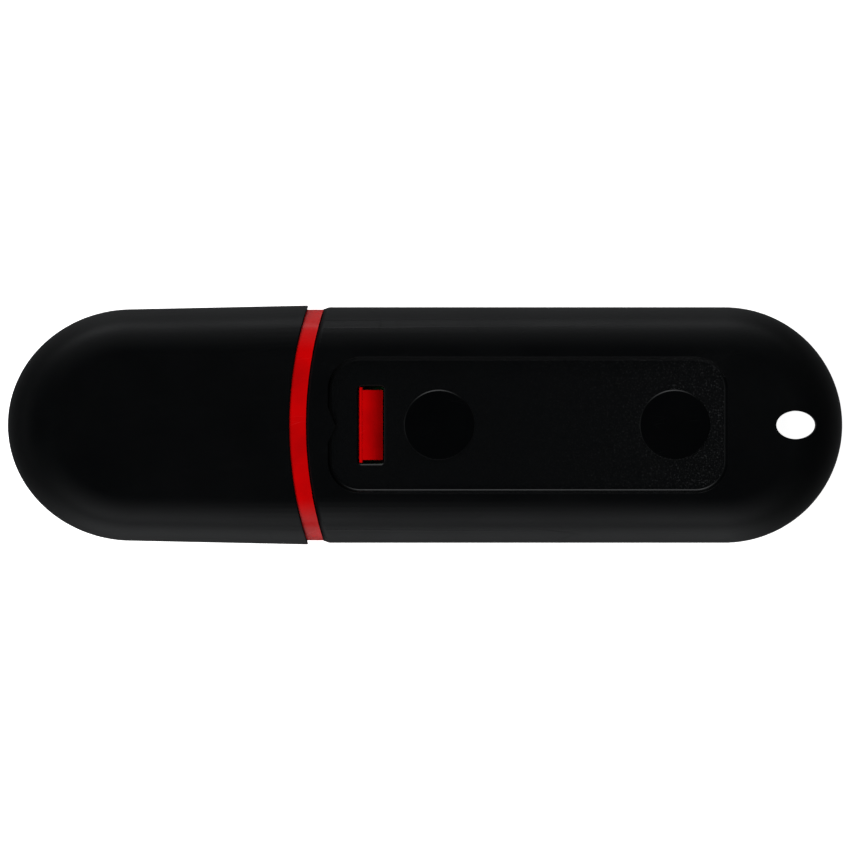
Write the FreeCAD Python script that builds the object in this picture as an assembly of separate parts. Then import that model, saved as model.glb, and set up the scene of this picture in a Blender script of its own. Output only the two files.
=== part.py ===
"""Capped USB-A flash drive, as separate solids, in millimetres.

The drive lies on its front face with the back face, which carries the label recess, on top.
+X runs from the cap's nose to the lanyard hole, +Z is up, and the origin is the middle of the
outline, on the surface that the drive rests on.

A black sleeve (body_shell) is open at the plug end. A red moulding (carrier_frame) slides into it
with the circuit board between its rails, and snaps into a window in the label recess. Its flange
shows as a red band, and its spigot carries the cap. The sizes add up from what is inside: the
sleeve is as long and as wide as the board that it holds, and as thick as the plug needs.
"""

import FreeCAD, Part
import math
import os
from FreeCAD import Vector

# ---------------------------------------------------------------- USB-A plug
plug_width = 12.0
plug_height = 4.5
plug_exposed = 12.0            # how much of it stands out of the spigot
plug_in_body = 1.95            # how far it reaches past the middle of the body's mouth
plug_sheet = 0.3
plug_corner = 0.6
plug_lip_chamfer = 0.12
plug_window = 2.2              # square retention windows, two above and two below
plug_window_from_tip = 6.2
plug_window_spread = 2.9
seam_gap = 0.06
leg_length = 2.2
leg_height = 2.5
tongue_from_tip = 0.3
tongue_length = 9.7            # from the tongue's tip back to the solid block behind it
insulator_gap = 0.03
contact_width = 1.0
contact_sheet = 0.25
contact_proud = 0.05
contact_above_middle = 0.05    # the contacts' underside, above the middle of the plug
contact_tail_width = 0.8
contact_tail_length = 1.6      # how far a tail lies on the board
contact_neck = 0.4             # from where a contact narrows to the board's front edge
power_contact_from_tip = 1.1
data_contact_from_tip = 2.1
contact_places = {
    "contact_vbus": (3.5, power_contact_from_tip),
    "contact_data_minus": (1.0, data_contact_from_tip),
    "contact_data_plus": (-1.0, data_contact_from_tip),
    "contact_ground": (-3.5, power_contact_from_tip),
}

# ---------------------------------------------------------------- outside of the drive
wall = 1.2
edge_radius = 3.4              # rounding of the long edges outside, all the way round the outline
inner_edge_radius = 2.2        # the same, inside the cap and the body
cap_overhang = 0.1             # the cap's mouth stands out this far past each side of the body
cap_flare = 0.25               # each side of the cap moves out by this from the nose to the mouth
nose_semi_length = 9.2         # the nose is half an ellipse in plan
nose_gap = 0.25                # between the plug's front corners and the inside of the nose
tail_length = 9.3              # solid end behind the cavity, with the lanyard hole
flange_width = 1.2             # the red band
flange_inset = 0.18            # how far the band lies below the cap and the body
mouth_arc_radius = 28.8        # both mouths are cut on an arc in plan
cap_seat_gap = 0.06
body_mouth_round = 0.45
cap_mouth_round = 0.2
lanyard_length = 2.95
lanyard_width = 2.08
lanyard_from_tail = 3.43
lanyard_round = 0.2

# ---------------------------------------------------------------- circuit board
board_thickness = 0.8
board_margin = 0.7             # past the sides of the plug and of the flash chip
board_front_room = 7.05        # for small parts, from the board's shoulder to the flash chip's leads
board_rear_margin = 0.5
flash_length = 18.4            # the flash chip's moulded body
flash_width = 12.0
flash_over_leads = 20.0
board_in_plug = 2.0            # the board's neck reaches this far into the plug's shell
board_shoulder = 0.45          # from the plug's rear end to the board's full width
board_end_gap = 0.35
board_gap = 0.05               # round the board, in its slots
board_slot_depth = 0.5         # how deep each rail's slot is
neck_gap = 0.15
leg_slot_gap = 0.1

# ---------------------------------------------------------------- carrier and its fits
sleeve_gap = 0.08              # carrier in body_shell
cap_gap = 0.12                 # cap on spigot
bore_gap = 0.05                # plug in carrier
spigot_length = 3.3
spigot_nose_round = 0.4
detent_height = 0.08           # beads on the spigot, which stand in shallow grooves in the cap
detent_radius = 0.3
detent_length = 4.0
detent_from_front = 1.1
groove_margin = 0.2
tenon_sheet = 0.62             # carrier above and below the plug, inside the body
tenon_past_plug = 0.25
rail_wall = 0.67               # between the bottom of a board slot and the rail's outside
rear_bar_length = 1.25
guide_gap = 0.15               # cap's guide ribs round the plug
guide_rib_width = 0.8
guide_rib_spread = 3.5
guide_rib_to_spigot = 0.6

# ---------------------------------------------------------------- label recess, window and catch
recess_depth = 0.32
recess_slope = 0.3             # the recess's wall leans out by this much
recess_corner = 2.35
recess_from_mouth = 1.65
recess_from_tail = 8.5
recess_side_margin = 0.27      # from the recess to where the long edges start to round
notch_depth = 0.5
notch_width = 2.7
notch_tip_radius = 0.35
window_length = 1.92
window_width = 5.75
window_corner = 0.25
window_to_recess = 2.2         # from the recess's front edge to the window
disc_radius = 2.6
disc_height = 0.08
disc_to_window = 1.45
disc_to_recess_end = 1.3
catch_gap = 0.09               # in front of and behind the catch, in the window
catch_side_gap = 0.3
catch_below_floor = 0.16
catch_toe = 0.12               # how far the low end of the ramp stands above the arm
ridge_side_gap = 0.095
ridge_length = 0.26
ridge_round = 0.1
arm_slit = 0.35
arm_slit_depth = 1.3           # how far the slits beside the arm run into the tenon

# ---------------------------------------------------------------- worked-out sizes
board_half_width = max(plug_width, flash_width) / 2 + board_margin
board_length = board_in_plug + board_shoulder + board_front_room + flash_over_leads + board_rear_margin
cavity_half_width = board_half_width + board_gap + rail_wall + sleeve_gap
cavity_depth = plug_in_body - board_in_plug + board_length + board_end_gap
body_half_width = cavity_half_width + wall
body_length = cavity_depth + tail_length
thickness = plug_height + 2 * (bore_gap + tenon_sheet + sleeve_gap + wall)
plug_length = plug_exposed + spigot_length + flange_width + plug_in_body
plug_half_width = plug_width / 2
plug_inner_half_width = plug_half_width - plug_sheet
rail_inner_y = board_half_width + board_gap - board_slot_depth
recess_half_width = body_half_width - edge_radius - recess_side_margin
cap_mouth_half_width = body_half_width + cap_overhang
cap_nose_half_width = cap_mouth_half_width - cap_flare
mouth_drop = mouth_arc_radius - math.sqrt(mouth_arc_radius**2 - cap_mouth_half_width**2)


def nose_centre_to_plug():
    """How far in front of the nose ellipse's centre the plug's tip can lie, inside the cap."""
    corner = plug_corner * (1 - math.sqrt(0.5))
    half_width = plug_half_width - corner + nose_gap
    below_ceiling = bore_gap + tenon_sheet + sleeve_gap + corner
    above_rounding = max(inner_edge_radius - below_ceiling, 0)
    inset = wall + inner_edge_radius - math.sqrt(inner_edge_radius**2 - above_rounding**2)
    share = half_width / (cap_nose_half_width - inset)
    return (nose_semi_length - inset) * math.sqrt(1 - share**2)


cap_length = spigot_length + plug_exposed + nose_semi_length - nose_centre_to_plug()
overall_length = cap_length + flange_width + body_length

# ---------------------------------------------------------------- worked-out places
nose_x = -overall_length / 2
tail_x = overall_length / 2
nose_centre_x = nose_x + nose_semi_length
cap_mouth_x = nose_x + cap_length
body_mouth_x = cap_mouth_x + flange_width
cavity_end_x = body_mouth_x + cavity_depth
spigot_front_x = cap_mouth_x - spigot_length
detent_x = spigot_front_x + detent_from_front
plug_tip_x = spigot_front_x - plug_exposed
plug_rear_x = plug_tip_x + plug_length
tenon_rear_x = plug_rear_x + tenon_past_plug
board_front_x = plug_rear_x - board_in_plug
board_shoulder_x = plug_rear_x + board_shoulder
board_rear_x = board_front_x + board_length
middle_z = thickness / 2
ceiling_z = thickness - wall
plug_low_z = middle_z - plug_height / 2
plug_high_z = middle_z + plug_height / 2
contact_z = middle_z + contact_above_middle
board_low_z = contact_z - board_thickness
recess_floor_z = thickness - recess_depth
recess_low_x = body_mouth_x + recess_from_mouth
recess_high_x = tail_x - recess_from_tail
window_low_x = recess_low_x + window_to_recess
window_high_x = window_low_x + window_length
catch_half_width = window_width / 2 - catch_side_gap
front_disc_x = window_high_x + disc_to_window + disc_radius
rear_disc_x = recess_high_x - disc_to_recess_end - disc_radius
lanyard_x = tail_x - lanyard_from_tail
overshoot = 1.0                # how far a cutting tool runs past what it cuts


# ---------------------------------------------------------------- small builders
def block(x0, x1, y0, y1, z0, z1):
    """A box between two corners."""
    return Part.makeBox(x1 - x0, y1 - y0, z1 - z0, Vector(x0, y0, z0))


def wide_block(x0, x1, half_width, z0, z1):
    """A box that is centred on the XZ plane."""
    return block(x0, x1, -half_width, half_width, z0, z1)


def side_block(x0, x1, side, near, far, z0, z1):
    """A box on the +Y side (side 1) or the -Y side (side -1), from near to far off the XZ plane."""
    y0, y1 = sorted((side * near, side * far))
    return block(x0, x1, y0, y1, z0, z1)


def fillet_where(solid, radius, wanted):
    """Fillets the edges for which wanted(edge) is true."""
    return solid.makeFillet(radius, [edge for edge in solid.Edges if wanted(edge)])


def runs_along_x(edge):
    box = edge.BoundBox
    return box.YLength < 1e-6 and box.ZLength < 1e-6


def lies_at_x(x):
    """Says whether an edge lies in the plane across the drive at x."""
    return lambda edge: edge.BoundBox.XLength < 1e-6 and abs(edge.BoundBox.XMin - x) < 1e-6


def upright(edge):
    box = edge.BoundBox
    return box.XLength < 1e-6 and box.YLength < 1e-6


def bar(x0, x1, half_width, z0, z1, corner):
    """A bar along X with a rounded-rectangle section."""
    return fillet_where(wide_block(x0, x1, half_width, z0, z1), corner, runs_along_x)


def prism(edges, z0, z1):
    """The closed outline of edges, drawn at z = 0, raised from z0 to z1."""
    face = Part.Face(Part.Wire(Part.__sortEdges__(edges)))
    face.translate(Vector(0, 0, z0))
    return face.extrude(Vector(0, 0, z1 - z0))


def polygon(points):
    """The edges of a closed polygon in the plane z = 0."""
    corners = [Vector(x, y, 0) for x, y in points]
    return [Part.makeLine(a, b) for a, b in zip(corners, corners[1:] + corners[:1])]


def side_profile(points, half_width):
    """A closed (x, z) polygon, extruded across the drive."""
    corners = [Vector(x, -half_width, z) for x, z in points]
    face = Part.Face(Part.makePolygon(corners + corners[:1]))
    return face.extrude(Vector(0, 2 * half_width, 0))


def slab(edges, z0, z1, rounding, open_end_x):
    """A plan outline made into a slab with rounded long edges. Its flat end at open_end_x stays sharp."""
    solid = prism(edges, z0, z1)
    at_open_end = lies_at_x(open_end_x)
    return fillet_where(solid, rounding, lambda edge: edge.BoundBox.ZLength < 1e-6 and not at_open_end(edge))


def mouth_cylinder(apex_x):
    """The upright cylinder whose surface cuts a mouth. It bulges towards -X and touches apex_x."""
    foot = Vector(apex_x + mouth_arc_radius, 0, -overshoot)
    return Part.makeCylinder(mouth_arc_radius, thickness + 2 * overshoot, foot)


def round_mouth(solid, apex_x, rounding):
    """Rounds the rim of a mouth that is cut on the arc at apex_x."""
    def on_rim(edge):
        first, last = edge.FirstParameter, edge.LastParameter
        points = [edge.valueAt(first), edge.valueAt((first + last) / 2), edge.valueAt(last)]
        from_axis = [math.hypot(p.x - apex_x - mouth_arc_radius, p.y) for p in points]
        return all(abs(distance - mouth_arc_radius) < 1e-4 for distance in from_axis)

    return fillet_where(solid, rounding, on_rim)


def ellipse_arc(centre_x, semi_x, semi_y, start, end):
    """Part of an ellipse in plan, from angle start to angle end, counted from +X."""
    centre = Vector(centre_x, 0, 0)
    if semi_x >= semi_y:
        return Part.ArcOfEllipse(Part.Ellipse(centre, semi_x, semi_y), start, end).toShape()
    tall = Part.Ellipse(Vector(centre_x, semi_y, 0), Vector(centre_x - semi_x, 0, 0), centre)
    return Part.ArcOfEllipse(tall, start - math.pi / 2, end - math.pi / 2).toShape()


def rounded_rectangle(x0, x1, half_width, corner, z):
    """A closed wire: a rectangle with round corners, in plan, at height z."""
    turns = [
        (x1 - corner, half_width - corner, 0),
        (x0 + corner, half_width - corner, 90),
        (x0 + corner, corner - half_width, 180),
        (x1 - corner, corner - half_width, 270),
    ]
    arcs = []
    for x, y, start in turns:
        circle = Part.Circle(Vector(x, y, z), Vector(0, 0, 1), corner)
        arcs.append(Part.ArcOfCircle(circle, math.radians(start), math.radians(start + 90)).toShape())
    edges = []
    for here, after in zip(arcs, arcs[1:] + arcs[:1]):
        edges.append(here)
        edges.append(Part.makeLine(here.Vertexes[-1].Point, after.Vertexes[0].Point))
    return Part.Wire(edges)


# ---------------------------------------------------------------- outlines
def cap_outline(inset, end_x):
    """The cap's plan, moved in by inset: half an ellipse, then straight sides that flare to the mouth."""
    semi_x = nose_semi_length - inset
    semi_y = cap_nose_half_width - inset
    mouth_y = cap_mouth_half_width - inset
    # Each side is the tangent to the nose ellipse from the mouth's corner.
    along = (cap_mouth_x - nose_centre_x) / semi_x
    across = mouth_y / semi_y
    touch = math.atan2(across, along) + math.acos(1 / math.hypot(along, across))
    touch_x = nose_centre_x + semi_x * math.cos(touch)
    touch_y = semi_y * math.sin(touch)
    end_y = touch_y + (mouth_y - touch_y) / (cap_mouth_x - touch_x) * (end_x - touch_x)
    corners = [Vector(touch_x, touch_y, 0), Vector(end_x, end_y, 0), Vector(end_x, -end_y, 0),
               Vector(touch_x, -touch_y, 0)]
    sides = [Part.makeLine(a, b) for a, b in zip(corners, corners[1:])]
    return [ellipse_arc(nose_centre_x, semi_x, semi_y, touch, 2 * math.pi - touch)] + sides


def body_outline(inset, start_x):
    """The body's plan, moved in by inset: straight sides and a half-round tail."""
    half = body_half_width - inset
    centre_x = tail_x - body_half_width
    top = Vector(centre_x, half, 0)
    bottom = Vector(centre_x, -half, 0)
    return [
        Part.Arc(top, Vector(centre_x + half, 0, 0), bottom).toShape(),
        Part.makeLine(bottom, Vector(start_x, -half, 0)),
        Part.makeLine(Vector(start_x, -half, 0), Vector(start_x, half, 0)),
        Part.makeLine(Vector(start_x, half, 0), top),
    ]


# ---------------------------------------------------------------- the cap
def make_cap():
    past_mouth = cap_mouth_x + mouth_drop + overshoot
    seat_x = cap_mouth_x - cap_seat_gap
    outside = slab(cap_outline(0, past_mouth), 0, thickness, edge_radius, past_mouth)
    outside = round_mouth(outside.cut(mouth_cylinder(seat_x)), seat_x, cap_mouth_round)
    cavity = slab(cap_outline(wall, past_mouth), wall, ceiling_z, inner_edge_radius, past_mouth)
    cap = outside.cut(cavity)
    # Ribs inside the nose centre the cap on the plug.
    rib_end = spigot_front_x - guide_rib_to_spigot
    rib_start = nose_x + wall / 2
    plug_room = bar(plug_tip_x - guide_gap, spigot_front_x, plug_half_width + guide_gap,
                    plug_low_z - guide_gap, plug_high_z + guide_gap, plug_corner + guide_gap)
    half_rib = guide_rib_width / 2
    ribs = [wide_block(plug_tip_x, rib_end, body_half_width, middle_z - half_rib, middle_z + half_rib)]
    for side in (-1, 1):
        near = guide_rib_spread - half_rib
        far = guide_rib_spread + half_rib
        ribs.append(side_block(rib_start, rib_end, side, near, far, wall / 2, thickness - wall / 2))
    for rib in ribs:
        cap = cap.fuse(rib.common(cavity).cut(plug_room))
    # Shallow grooves take the beads on the spigot.
    half_groove = detent_radius + groove_margin
    half_length = detent_length / 2 + groove_margin
    grooves = wide_block(detent_x - half_groove, detent_x + half_groove, half_length,
                         wall - detent_height, ceiling_z + detent_height)
    return cap.cut(grooves).removeSplitter()


# ---------------------------------------------------------------- the body
def recess_notch():
    """The small V that stands into the recess from its front wall, at the moulding gate."""
    back_x = recess_low_x - overshoot
    tip_x = recess_low_x + recess_slope + notch_depth
    half = notch_width / 2
    outline = [(back_x, half), (recess_low_x, half), (tip_x, 0), (recess_low_x, -half), (back_x, -half)]
    wedge = prism(polygon(outline), ceiling_z, thickness)
    return fillet_where(wedge, notch_tip_radius, lambda edge: upright(edge) and lies_at_x(tip_x)(edge))


def recess_tool():
    """What is cut for the label recess: its walls lean out, up to and past the outer face."""
    low_x = recess_low_x + recess_slope
    high_x = recess_high_x - recess_slope
    half = recess_half_width - recess_slope
    corner = recess_corner - recess_slope
    lean = recess_slope * (recess_depth + overshoot) / recess_depth
    floor = rounded_rectangle(low_x, high_x, half, corner, recess_floor_z)
    above = rounded_rectangle(low_x - lean, high_x + lean, half + lean, corner + lean, thickness + overshoot)
    return Part.makeLoft([floor, above], True, True)


def make_body_shell():
    start = body_mouth_x - overshoot
    outside = slab(body_outline(0, start), 0, thickness, edge_radius, start)
    outside = round_mouth(outside.common(mouth_cylinder(body_mouth_x)), body_mouth_x, body_mouth_round)
    cavity = bar(start, cavity_end_x, cavity_half_width, wall, ceiling_z, inner_edge_radius)
    shell = outside.cut(cavity).cut(recess_tool().cut(recess_notch()))
    # Two round pads stand a little above the recess's floor.
    for x in (front_disc_x, rear_disc_x):
        foot = Vector(x, 0, (ceiling_z + recess_floor_z) / 2)
        shell = shell.fuse(Part.makeCylinder(disc_radius, recess_floor_z + disc_height - foot.z, foot))
    window = rounded_rectangle(window_low_x, window_high_x, window_width / 2, window_corner, 0)
    shell = shell.cut(prism(window.Edges, middle_z, thickness))
    lanyard = ellipse_arc(lanyard_x, lanyard_length / 2, lanyard_width / 2, 0, 2 * math.pi)
    shell = shell.cut(prism([lanyard], -overshoot, thickness + overshoot)).removeSplitter()

    def on_lanyard_rim(edge):
        box = edge.BoundBox
        from_hole = math.hypot(box.Center.x - lanyard_x, box.Center.y)
        return from_hole < lanyard_width / 2 and box.XLength > lanyard_round and box.ZLength < middle_z

    return fillet_where(shell, lanyard_round, on_lanyard_rim)


# ---------------------------------------------------------------- the red carrier
def sleeve_bar(x0, x1):
    """The section that fills the body's cavity, less its fit."""
    return bar(x0, x1, cavity_half_width - sleeve_gap, wall + sleeve_gap, ceiling_z - sleeve_gap,
               inner_edge_radius - sleeve_gap)


def make_flange():
    """The band between the two mouths."""
    start = cap_mouth_x - overshoot
    flange = slab(body_outline(flange_inset, start), flange_inset, thickness - flange_inset,
                  edge_radius - flange_inset, start)
    return flange.common(mouth_cylinder(cap_mouth_x)).cut(mouth_cylinder(body_mouth_x))


def make_spigot():
    """What the cap sits on. It ends inside the flange, on an arc midway between the two mouths."""
    flare_length = cap_mouth_x - nose_centre_x
    half = cap_mouth_half_width - cap_flare * spigot_length / flare_length - wall - cap_gap
    low_z = wall + cap_gap
    high_z = ceiling_z - cap_gap
    middle_x = cap_mouth_x + flange_width / 2
    spigot = bar(spigot_front_x, middle_x + mouth_drop, half, low_z, high_z, inner_edge_radius - cap_gap)
    spigot = spigot.cut(mouth_cylinder(middle_x))
    spigot = fillet_where(spigot, spigot_nose_round, lies_at_x(spigot_front_x))
    sunk = detent_radius - detent_height
    for z in (low_z + sunk, high_z - sunk):
        foot = Vector(detent_x, -detent_length / 2, z)
        spigot = spigot.fuse(Part.makeCylinder(detent_radius, detent_length, foot, Vector(0, 1, 0)))
    return spigot


def make_snap_arm():
    """A springy tongue over the plug's rear end, with a ramped catch that fills the window."""
    low_z = plug_high_z + bore_gap
    arm_z = ceiling_z - sleeve_gap
    crest_z = recess_floor_z - catch_below_floor
    steep_x = window_low_x + catch_gap
    ramp_x = steep_x + ridge_length
    end_x = window_high_x - catch_gap
    arm = wide_block(body_mouth_x, end_x, catch_half_width, low_z, arm_z)
    ramp = side_profile([(ramp_x, low_z), (ramp_x, crest_z), (end_x, arm_z + catch_toe), (end_x, low_z)],
                        catch_half_width)
    ridge = wide_block(steep_x, ramp_x, window_width / 2 - ridge_side_gap, low_z, crest_z)
    ridge = fillet_where(ridge, ridge_round, lambda edge: edge.BoundBox.ZMin > crest_z - 1e-6
                         and edge.BoundBox.YLength > ridge_length + 1e-6)
    return arm.fuse(ramp).fuse(ridge)


def make_carrier():
    flange_middle = mouth_cylinder(cap_mouth_x + flange_width / 2)
    rail_end_x = board_rear_x + board_gap
    # The tenon and both rails are one bar along the cavity, hollowed behind the tenon.
    core = sleeve_bar(cap_mouth_x, rail_end_x).common(flange_middle)
    core = core.cut(wide_block(tenon_rear_x, rail_end_x, rail_inner_y, 0, thickness))
    # A bar under the board joins the rails at the rear.
    rear_bar_x = board_rear_x - rear_bar_length
    rear_bar = sleeve_bar(rear_bar_x, rail_end_x)
    under_board = wide_block(rear_bar_x, rail_end_x, board_half_width, 0, board_low_z - board_gap)
    rear_bar = rear_bar.common(under_board)
    carrier = make_flange().fuse(core).fuse(rear_bar).fuse(make_spigot()).fuse(make_snap_arm())
    board_slot = wide_block(board_shoulder_x - board_gap, rail_end_x, board_half_width + board_gap,
                            board_low_z - board_gap, contact_z + board_gap)
    bore = bar(nose_x, tenon_rear_x, plug_half_width + bore_gap, plug_low_z - bore_gap,
               plug_high_z + bore_gap, plug_corner + bore_gap)
    carrier = carrier.cut(board_slot).cut(bore)
    # Slits beside the arm let it bend from inside the tenon.
    for side in (-1, 1):
        slit = side_block(tenon_rear_x - arm_slit_depth, tenon_rear_x, side, catch_half_width,
                          catch_half_width + arm_slit, plug_high_z, ceiling_z)
        carrier = carrier.cut(slit)
    return carrier.removeSplitter()


# ---------------------------------------------------------------- the plug
def make_plug_shell():
    outside = bar(plug_tip_x, plug_rear_x, plug_half_width, plug_low_z, plug_high_z, plug_corner)
    at_tip = lies_at_x(plug_tip_x)
    outside = outside.makeChamfer(plug_lip_chamfer, [edge for edge in outside.Edges if at_tip(edge)])
    inside = bar(plug_tip_x - overshoot, plug_rear_x + overshoot, plug_inner_half_width,
                 plug_low_z + plug_sheet, plug_high_z - plug_sheet, plug_corner - plug_sheet)
    shell = outside.cut(inside)
    window_x = plug_tip_x + plug_window_from_tip
    half = plug_window / 2
    for side in (-1, 1):
        shell = shell.cut(side_block(window_x - half, window_x + half, side, plug_window_spread - half,
                                     plug_window_spread + half, 0, thickness))
    # The sheet's two edges meet along the middle of the top face.
    shell = shell.cut(wide_block(plug_tip_x, plug_rear_x, seam_gap / 2, middle_z, thickness))
    # Two legs go on from the sides, down through slots in the board.
    for side in (-1, 1):
        shell = shell.fuse(side_block(plug_rear_x - leg_length, plug_rear_x + leg_length, side,
                                      plug_inner_half_width, plug_half_width,
                                      middle_z - leg_height / 2, middle_z + leg_height / 2))
    return shell.removeSplitter()


def make_contacts():
    """The four contacts by name. Each narrows to a tail that lies on the board."""
    made = {}
    neck_x = board_front_x - contact_neck
    tail_end_x = board_front_x + contact_tail_length
    for name, (y, from_tip) in contact_places.items():
        half = contact_width / 2
        half_tail = contact_tail_width / 2
        high_z = contact_z + contact_sheet
        wide = block(plug_tip_x + from_tip, neck_x, y - half, y + half, contact_z, high_z)
        tail = block(neck_x, tail_end_x, y - half_tail, y + half_tail, contact_z, high_z)
        made[name] = wide.fuse(tail).removeSplitter()
    return made


def make_insulator():
    """The tongue, which carries the contacts on its inner face, and the block behind it."""
    from_outside = plug_sheet + insulator_gap
    whole = bar(plug_tip_x + tongue_from_tip, board_front_x - insulator_gap, plug_half_width - from_outside,
                plug_low_z + from_outside, plug_high_z - from_outside, plug_corner - plug_sheet)
    socket_room = wide_block(plug_tip_x, plug_tip_x + tongue_from_tip + tongue_length, plug_half_width,
                             0, contact_z + contact_proud)
    insulator = whole.cut(socket_room)
    for contact in make_contacts().values():
        insulator = insulator.cut(contact)
    return insulator.removeSplitter()


# ---------------------------------------------------------------- the board
def make_board():
    neck_half_width = plug_inner_half_width - neck_gap
    plate = wide_block(board_shoulder_x, board_rear_x, board_half_width, board_low_z, contact_z)
    neck = wide_block(board_front_x, board_shoulder_x, neck_half_width, board_low_z, contact_z)
    board = plate.fuse(neck)
    slot_end_x = plug_rear_x + leg_length + leg_slot_gap
    for side in (-1, 1):
        board = board.cut(side_block(plug_rear_x, slot_end_x, side, plug_inner_half_width - leg_slot_gap,
                                     plug_half_width + leg_slot_gap, 0, thickness))
    return board.removeSplitter()


def on_board(shape, x, y, side, turn=0):
    """Sets a shape that was built standing on z = 0 onto the board's top (side 1) or underside (side -1)."""
    placed = shape.copy()
    placed.rotate(Vector(0, 0, 0), Vector(0, 0, 1), turn)
    if side < 0:
        placed.rotate(Vector(0, 0, 0), Vector(1, 0, 0), 180)
    placed.translate(Vector(x, y, contact_z if side > 0 else board_low_z))
    return placed


def gull_lead(body_half, reach, rise, foot, width, sheet):
    """One formed lead that leaves a package's +X side at height rise and stands on z = 0."""
    knee = reach - foot
    bend = body_half + (knee - body_half) / 3
    half = sheet / 2
    points = [
        (body_half, rise + sheet), (bend + half, rise + sheet), (knee + half, sheet), (reach, sheet),
        (reach, 0), (knee - half, 0), (bend - half, rise), (body_half, rise),
    ]
    return side_profile(points, width / 2)


def lead_row(lead, count, pitch, turn):
    """Copies of a lead side by side, then turned about the package's middle."""
    row = []
    for i in range(count):
        one = lead.copy()
        one.translate(Vector(0, (i - (count - 1) / 2) * pitch, 0))
        one.rotate(Vector(0, 0, 0), Vector(0, 0, 1), turn)
        row.append(one)
    return row


def centred_box(length, width, height, z=0):
    """A box that is centred in plan, from z up."""
    return Part.makeBox(length, width, height, Vector(-length / 2, -width / 2, z))


def moulded_package(length, width, height, stand_off, bevel):
    """A chip's body, bevelled where the two halves of its mould draft away."""
    body = centred_box(length, width, height, stand_off)
    return body.makeChamfer(bevel, body.Edges)


def chip_part(length, width, height, end_length, end_round=0.05):
    """A two-terminal chip part: its plain middle, and its two metal ends."""
    middle = centred_box(length - 2 * end_length, width, height)
    ends = []
    for side in (-1, 1):
        end = centred_box(end_length, width, height)
        end.translate(Vector(side * (length - end_length) / 2, 0, 0))
        ends.append(fillet_where(end, end_round, lies_at_x(side * length / 2)))
    return middle, ends


def make_flash_chip():
    """A 48-lead thin package with its leads at both ends."""
    body = moulded_package(flash_length, flash_width, height=1.0, stand_off=0.1, bevel=0.12)
    lead = gull_lead(flash_length / 2, flash_over_leads / 2, rise=0.5, foot=0.5, width=0.2, sheet=0.15)
    return body, lead_row(lead, 24, 0.5, 0) + lead_row(lead, 24, 0.5, 180)


def make_controller():
    """A 48-lead quad flat package."""
    body = moulded_package(length=7.0, width=7.0, height=1.3, stand_off=0.1, bevel=0.12)
    lead = gull_lead(body_half=3.5, reach=4.5, rise=0.6, foot=0.6, width=0.22, sheet=0.13)
    leads = []
    for turn in (0, 90, 180, 270):
        leads += lead_row(lead, 12, 0.5, turn)
    return body, leads


def make_small_package(left_leads):
    """A small moulded part with two leads on its +X side, and one or two on the other."""
    body = moulded_package(length=1.3, width=2.9, height=1.0, stand_off=0.08, bevel=0.08)
    lead = gull_lead(body_half=0.65, reach=1.2, rise=0.5, foot=0.35, width=0.38, sheet=0.12)
    return body, lead_row(lead, 2, 1.9, 0) + lead_row(lead, left_leads, 1.9, 180)


def make_crystal():
    """A ceramic tray with a metal lid."""
    tray = fillet_where(centred_box(length=3.2, width=2.5, height=0.45), 0.2, upright)
    lid = fillet_where(centred_box(length=2.9, width=2.2, height=0.3, z=0.45), 0.3, upright)
    return tray, [lid]


def make_led():
    """A chip LED: its carrier, and the clear block on top of it."""
    base = centred_box(length=1.6, width=0.8, height=0.3)
    lens = centred_box(length=1.1, width=0.8, height=0.35, z=0.3)
    return base, [fillet_where(lens, 0.15, lambda edge: edge.BoundBox.ZMin > 0.6)]


# ---------------------------------------------------------------- the board's parts
top_side = 1
underside = -1
quarter_turn = 90                          # turns a chip part to lie along Y
front_row_x = board_shoulder_x + 3.4       # a row behind the plug's legs
second_row_x = front_row_x + 1.6
third_row_x = front_row_x + 4.4
controller_x = board_shoulder_x + 13.0
rear_row_x = controller_x + 5.9            # a row behind the controller
bulk_x = rear_row_x + 1.2
last_row_x = rear_row_x + 1.9
flash_x = board_rear_x - board_rear_margin - flash_over_leads / 2


def board_parts():
    """Every part on the board: lists of solids, by name."""
    parts = {}

    def put(body_name, detail_name, part, *places):
        body, details = part
        parts[body_name] = [on_board(body, *place) for place in places]
        parts[detail_name] = [on_board(detail, *place) for place in places for detail in details]

    put("flash_chip", "flash_chip_leads", make_flash_chip(), (flash_x, 0, top_side))
    put("controller_chip", "controller_leads", make_controller(), (controller_x, 0, underside))
    put("crystal_base", "crystal_lid", make_crystal(), (second_row_x, -3.4, underside))
    put("regulator_body", "regulator_leads", make_small_package(left_leads=1), (second_row_x, 3.4, underside))
    put("esd_array_body", "esd_array_leads", make_small_package(left_leads=2), (front_row_x, 0, top_side))
    put("led_base", "led_lens", make_led(), (front_row_x, 4.6, top_side, quarter_turn))
    put("input_fuse_body", "input_fuse_ends", chip_part(length=3.2, width=1.6, height=0.6, end_length=0.5),
        (front_row_x, -3.9, top_side, quarter_turn))
    put("bulk_capacitor_body", "bulk_capacitor_ends",
        chip_part(length=3.2, width=1.6, height=1.5, end_length=0.5),
        (bulk_x, 3.6, underside, quarter_turn))
    put("capacitor_bodies", "capacitor_ends", chip_part(length=1.6, width=0.8, height=0.8, end_length=0.35),
        (third_row_x, 4.9, underside), (third_row_x, -4.9, underside),
        *[(rear_row_x, y, underside, quarter_turn) for y in (0.6, -1.6, -3.8)])
    put("resistor_bodies", "resistor_ends", chip_part(length=1.0, width=0.5, height=0.35, end_length=0.22),
        *[(last_row_x, y, underside, quarter_turn) for y in (0.6, -1.2, -3.0, -4.8)],
        *[(second_row_x, y, top_side, quarter_turn) for y in (4.6, 2.3, -2.2)])
    return parts


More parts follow.
